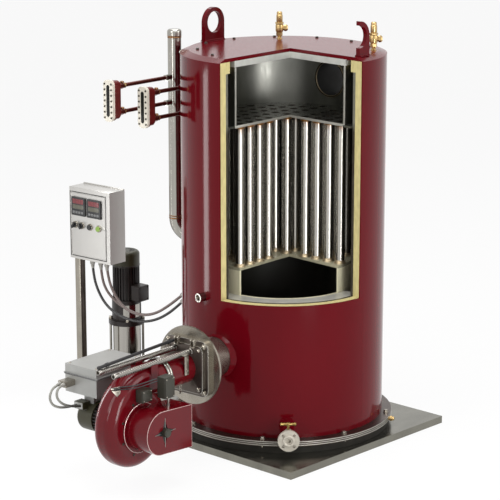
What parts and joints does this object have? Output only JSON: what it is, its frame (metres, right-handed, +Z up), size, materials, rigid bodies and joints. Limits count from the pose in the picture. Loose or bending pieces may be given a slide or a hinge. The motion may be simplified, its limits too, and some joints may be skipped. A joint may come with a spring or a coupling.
{
  "type": "steam generator",
  "caption": "Vertical fire-tube steam generator with a quarter of its insulated red shell cut open, side burner on slide bars, feed pump and control cabinet.",
  "frame": {"origin": "boiler axis at the underside of the base plate", "axes": "+Z up along the boiler axis, -X along the burner's axis away from the shell, +Y towards the feed pump and the cabinet"},
  "size_m": [1.9736, 1.8424, 2.074],
  "materials": {
    "base_steel": "hot rolled plate, satin",
    "machined_steel": "machined",
    "red_paint": "gloss",
    "burner_red": "gloss",
    "wool": "matt mineral wool",
    "dark_steel": "mill scale",
    "polished_steel": "polished stainless",
    "gauge_cast": "painted casting",
    "cream_enamel": "enamel",
    "cast_grey": "as cast",
    "brass": "turned",
    "knob_grey": "satin",
    "motor_black": "satin",
    "motor_olive": "satin",
    "light_grey": "satin",
    "stainless_sheet": "brushed",
    "instrument_black": "matt",
    "gland_nylon": "moulded",
    "cable_black": "satin",
    "cable_grey": "satin"
  },
  "bodies": {
    "root": {"base_plate": "base_steel", "foot_ring": "base_steel", "ring_flange": "machined_steel", "casing_lower_front": "red_paint", "casing_lower_back": "red_paint", "casing_upper_left": "red_paint", "casing_upper_back": "red_paint", "insulation": "wool", "pressure_shell": "dark_steel", "furnace_wall": "polished_steel", "tube_sheets": "dark_steel", "fire_tubes": "polished_steel", "smokebox_wall": "dark_steel", "top_plate": "dark_steel", "lid": "red_paint", "lifting_lugs": "red_paint", "safety_valves": "brass", "flue_outlet": "dark_steel", "water_column": "polished_steel", "gauge_pipes": "polished_steel", "gauge_bodies": "gauge_cast", "gauge_faces": "cream_enamel", "instrument_socket": "polished_steel", "drain_valve": "cast_grey", "burner_stub": "machined_steel", "burner_flange": "machined_steel", "burner_neck": "burner_red", "clamp_ring": "polished_steel", "slide_bars": "polished_steel", "pump_base": "cast_grey", "pump_sleeve": "polished_steel", "pump_stool": "motor_black", "pump_motor": "motor_black", "pump_fan_cover": "motor_olive", "pump_terminal_box": "motor_black", "post": "polished_steel", "cabinet": "stainless_sheet", "cable_glands": "gland_nylon", "black_cable": "cable_black", "left_cable": "cable_grey", "right_cable": "cable_grey"},
    "burner": {"volute": "burner_red", "intake_box": "burner_red", "intake_knob": "knob_grey", "fan_motor": "motor_black", "motor_bell": "motor_olive", "control_boxes": "knob_grey", "junction_box": "light_grey", "junction_lid": "light_grey", "lead_gland": "machined_steel", "outer_lead": "cable_grey", "inner_lead": "cable_black"},
    "door": {"door": "stainless_sheet", "controllers": "instrument_black", "panel_controls": "instrument_black"},
    "drain_handle": {"drain_handle": "brass"}
  },
  "joints": [
    {"name": "door_hinge", "type": "hinge", "parent": "root", "child": "door", "pos_m": [-0.2705, 1.1905, 0.919], "axis": [0, 0, -1], "range_deg": [0, 90]},
    {"name": "drain_handle_turn", "type": "hinge", "parent": "root", "child": "drain_handle", "pos_m": [-0.42106, -0.37449, 0.164], "axis": [0, 0, 1], "range_deg": [0, 90]},
    {"name": "burner_slide", "type": "slide", "parent": "root", "child": "burner", "axis": [-1, 0, 0], "range_m": [0, 0.22]}
  ]
}
